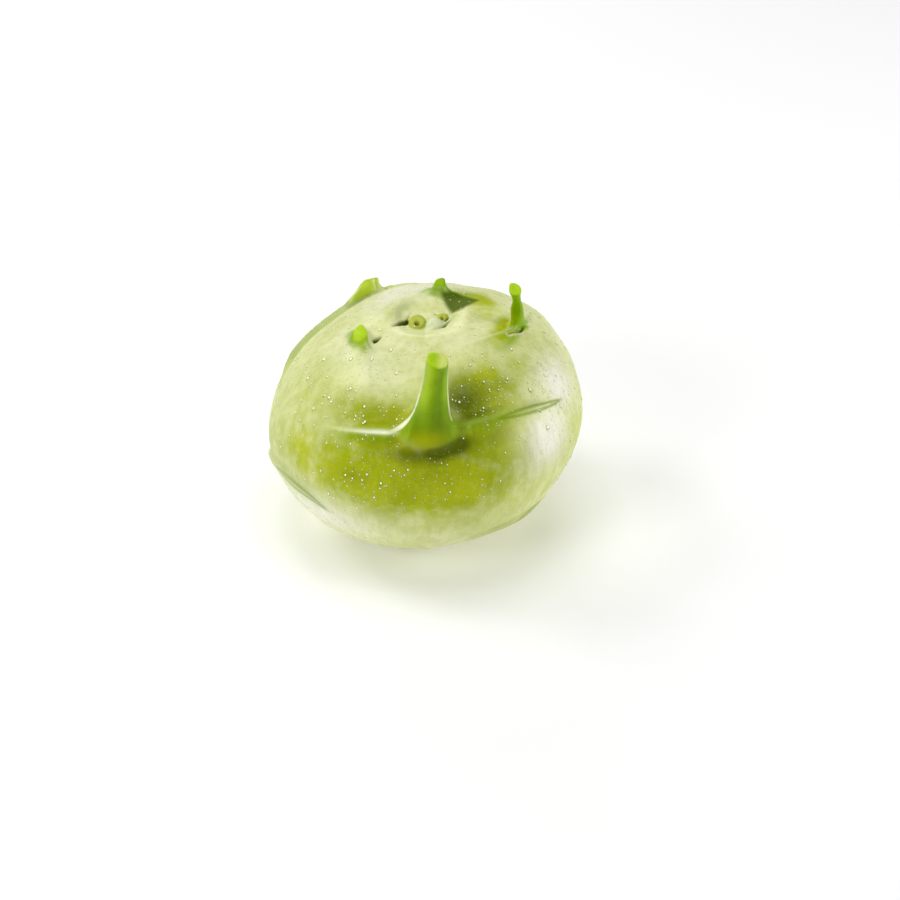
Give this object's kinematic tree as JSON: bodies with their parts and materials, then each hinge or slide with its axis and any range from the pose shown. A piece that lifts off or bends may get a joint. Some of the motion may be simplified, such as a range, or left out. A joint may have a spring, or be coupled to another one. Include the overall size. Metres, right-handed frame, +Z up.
{
  "type": "kohlrabi",
  "caption": "Whole kohlrabi, a rounded swollen stem with cut leaf stalks and leaf-base wings, resting on its flat root cut.",
  "frame": {"origin": "middle of the flat root cut that the kohlrabi rests on", "axes": "+Z up from the root cut to the crown; -Y towards the tall front stalk; +X to the right of it"},
  "size_m": [0.0881, 0.0897, 0.0785],
  "materials": {
    "kohlrabi_skin": "satin"
  },
  "bodies": {
    "root": {"kohlrabi": "kohlrabi_skin"}
  },
  "joints": []
}
